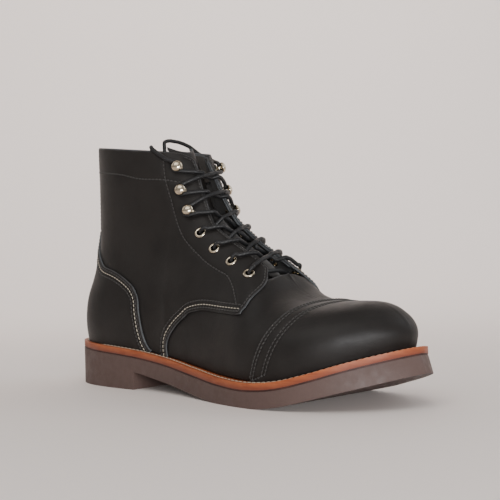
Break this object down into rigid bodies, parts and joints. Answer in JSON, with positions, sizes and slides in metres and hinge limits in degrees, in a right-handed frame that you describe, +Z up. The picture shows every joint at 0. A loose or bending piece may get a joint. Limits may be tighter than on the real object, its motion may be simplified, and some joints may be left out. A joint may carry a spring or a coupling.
{
  "type": "leather boot",
  "caption": "Lace-up ankle boot for the right foot: cap toe, stitched welt, one-piece rubber sole with heel, eyelets and hooks, one waxed lace.",
  "frame": {"origin": "on the ground under the middle of the boot's bounding box", "axes": "+X towards the toe, +Y towards the medial (inner) side, +Z up"},
  "size_m": [0.3114, 0.1164, 0.1904],
  "materials": {
    "black_leather": "satin, smooth-grained, waxed, with grey raw cut edges",
    "inner_leather": "matt flesh side",
    "lining": "matt",
    "stiffener": "matt fibre board",
    "welt_leather": "orange-brown, lightly burnished, with pale lockstitch",
    "dark_rubber": "matt dark red-brown",
    "sole_rubber": "matt purplish brown",
    "cork": "matt granular cork",
    "steel": "brushed",
    "nickel": "polished nickel",
    "lace": "tightly braided, waxed",
    "aglet": "gloss"
  },
  "bodies": {
    "root": {"outsole_unit": "sole_rubber", "midsole": "dark_rubber", "welt": "welt_leather", "cork_filler": "cork", "shank": "steel", "insole": "inner_leather", "heel_pad": "lining", "vamp": "black_leather", "toe_cap": "black_leather", "toe_puff": "stiffener", "vamp_lining": "lining", "quarter_lateral": "black_leather", "quarter_medial": "black_leather", "facing_lateral": "inner_leather", "facing_medial": "inner_leather", "collar_band": "lining", "heel_counter": "black_leather", "counter_stiffener": "stiffener", "backstay": "black_leather", "eyelet_lateral_1": "nickel", "eyelet_lateral_2": "nickel", "eyelet_lateral_3": "nickel", "eyelet_lateral_4": "nickel", "eyelet_medial_1": "nickel", "eyelet_medial_2": "nickel", "eyelet_medial_3": "nickel", "eyelet_medial_4": "nickel", "hook_lateral_5": "nickel", "hook_lateral_6": "nickel", "hook_lateral_7": "nickel", "hook_medial_5": "nickel", "hook_medial_6": "nickel", "hook_medial_7": "nickel", "lace": "lace", "aglet_lateral": "aglet", "aglet_medial": "aglet"},
    "tongue": {"tongue": "black_leather"}
  },
  "joints": [
    {"name": "tongue_tilt", "type": "hinge", "parent": "root", "child": "tongue", "pos_m": [0.04327, 0, 0.072], "axis": [0, -1, 0], "range_deg": [0, 8]}
  ]
}
